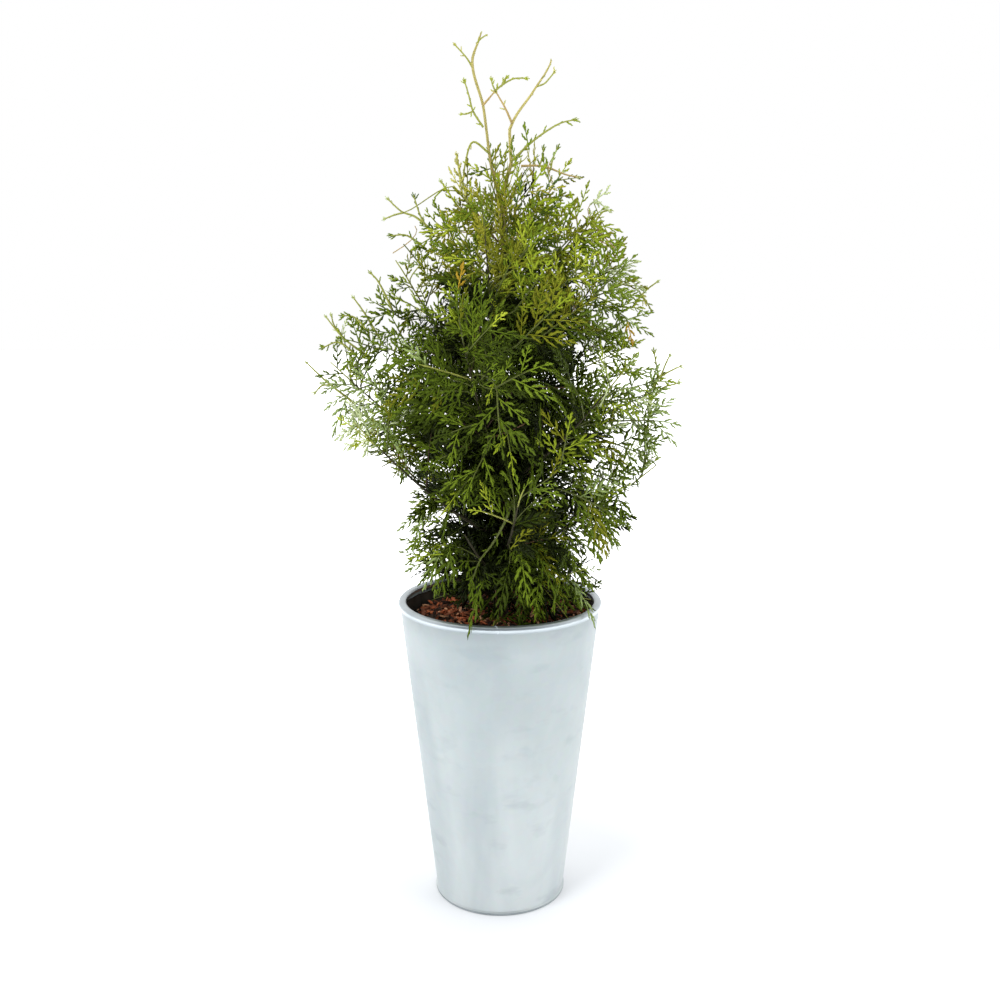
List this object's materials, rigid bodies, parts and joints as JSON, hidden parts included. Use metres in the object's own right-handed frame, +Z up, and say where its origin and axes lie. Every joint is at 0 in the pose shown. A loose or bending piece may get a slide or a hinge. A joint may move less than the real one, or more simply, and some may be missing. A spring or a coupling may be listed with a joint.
{
  "type": "potted thuja",
  "caption": "A young evergreen conifer with flat fern-like sprays on upswept boughs, growing on one trunk in a tall tapered zinc planter with a rolled rim.",
  "frame": {"origin": "The middle of the planter's flat underside.", "axes": "+Z points up the trunk. -Y is the face side, and +X is to the right of somebody who looks at that side."},
  "size_m": [0.5727, 0.522, 1.3622],
  "materials": {
    "zinc": "matte galvanised zinc, cloudy pale blue-grey",
    "black_plastic": "matte black nursery pot",
    "potting_soil": "moist peat-based soil",
    "bark_chips": "reddish-brown bark chips",
    "bark": "stringy brown bark",
    "foliage_skirt": "dark green scale-leaf sprays",
    "foliage_low": "dark green scale-leaf sprays",
    "foliage_middle": "mid green scale-leaf sprays",
    "foliage_upper": "mid green scale-leaf sprays",
    "foliage_high": "yellow-green scale-leaf sprays",
    "foliage_top": "yellow-green scale-leaf sprays",
    "foliage_tip": "straw-green twig tips scale-leaf sprays"
  },
  "bodies": {
    "root": {"bark_mulch": "bark_chips", "bough_high_1": "bark", "bough_high_2": "bark", "bough_high_3": "bark", "bough_high_4": "bark", "bough_low_1": "bark", "bough_low_2": "bark", "bough_low_3": "bark", "bough_low_4": "bark", "bough_low_5": "bark", "bough_middle_1": "bark", "bough_middle_2": "bark", "bough_middle_3": "bark", "bough_middle_4": "bark", "bough_middle_5": "bark", "bough_skirt_1": "bark", "bough_skirt_2": "bark", "bough_skirt_3": "bark", "bough_skirt_4": "bark", "bough_upper_1": "bark", "bough_upper_2": "bark", "bough_upper_3": "bark", "bough_upper_4": "bark", "bough_upper_5": "bark", "foliage_high_1": "foliage_high", "foliage_high_2": "foliage_high", "foliage_high_3": "foliage_high", "foliage_high_4": "foliage_high", "foliage_low_1": "foliage_low", "foliage_low_2": "foliage_low", "foliage_low_3": "foliage_low", "foliage_low_4": "foliage_low", "foliage_low_5": "foliage_low", "foliage_middle_1": "foliage_middle", "foliage_middle_2": "foliage_middle", "foliage_middle_3": "foliage_middle", "foliage_middle_4": "foliage_middle", "foliage_middle_5": "foliage_middle", "foliage_skirt_1": "foliage_skirt", "foliage_skirt_2": "foliage_skirt", "foliage_skirt_3": "foliage_skirt", "foliage_skirt_4": "foliage_skirt", "foliage_tip_left": "foliage_tip", "foliage_tip_middle": "foliage_tip", "foliage_tip_right": "foliage_tip", "foliage_top_face": "foliage_top", "foliage_top_left": "foliage_top", "foliage_top_rear": "foliage_top", "foliage_top_right": "foliage_top", "foliage_upper_1": "foliage_upper", "foliage_upper_2": "foliage_upper", "foliage_upper_3": "foliage_upper", "foliage_upper_4": "foliage_upper", "foliage_upper_5": "foliage_upper", "inner_pot": "black_plastic", "pot_floor": "zinc", "pot_shell": "zinc", "root_ball": "potting_soil", "second_leader": "bark", "trunk": "bark"}
  },
  "joints": []
}
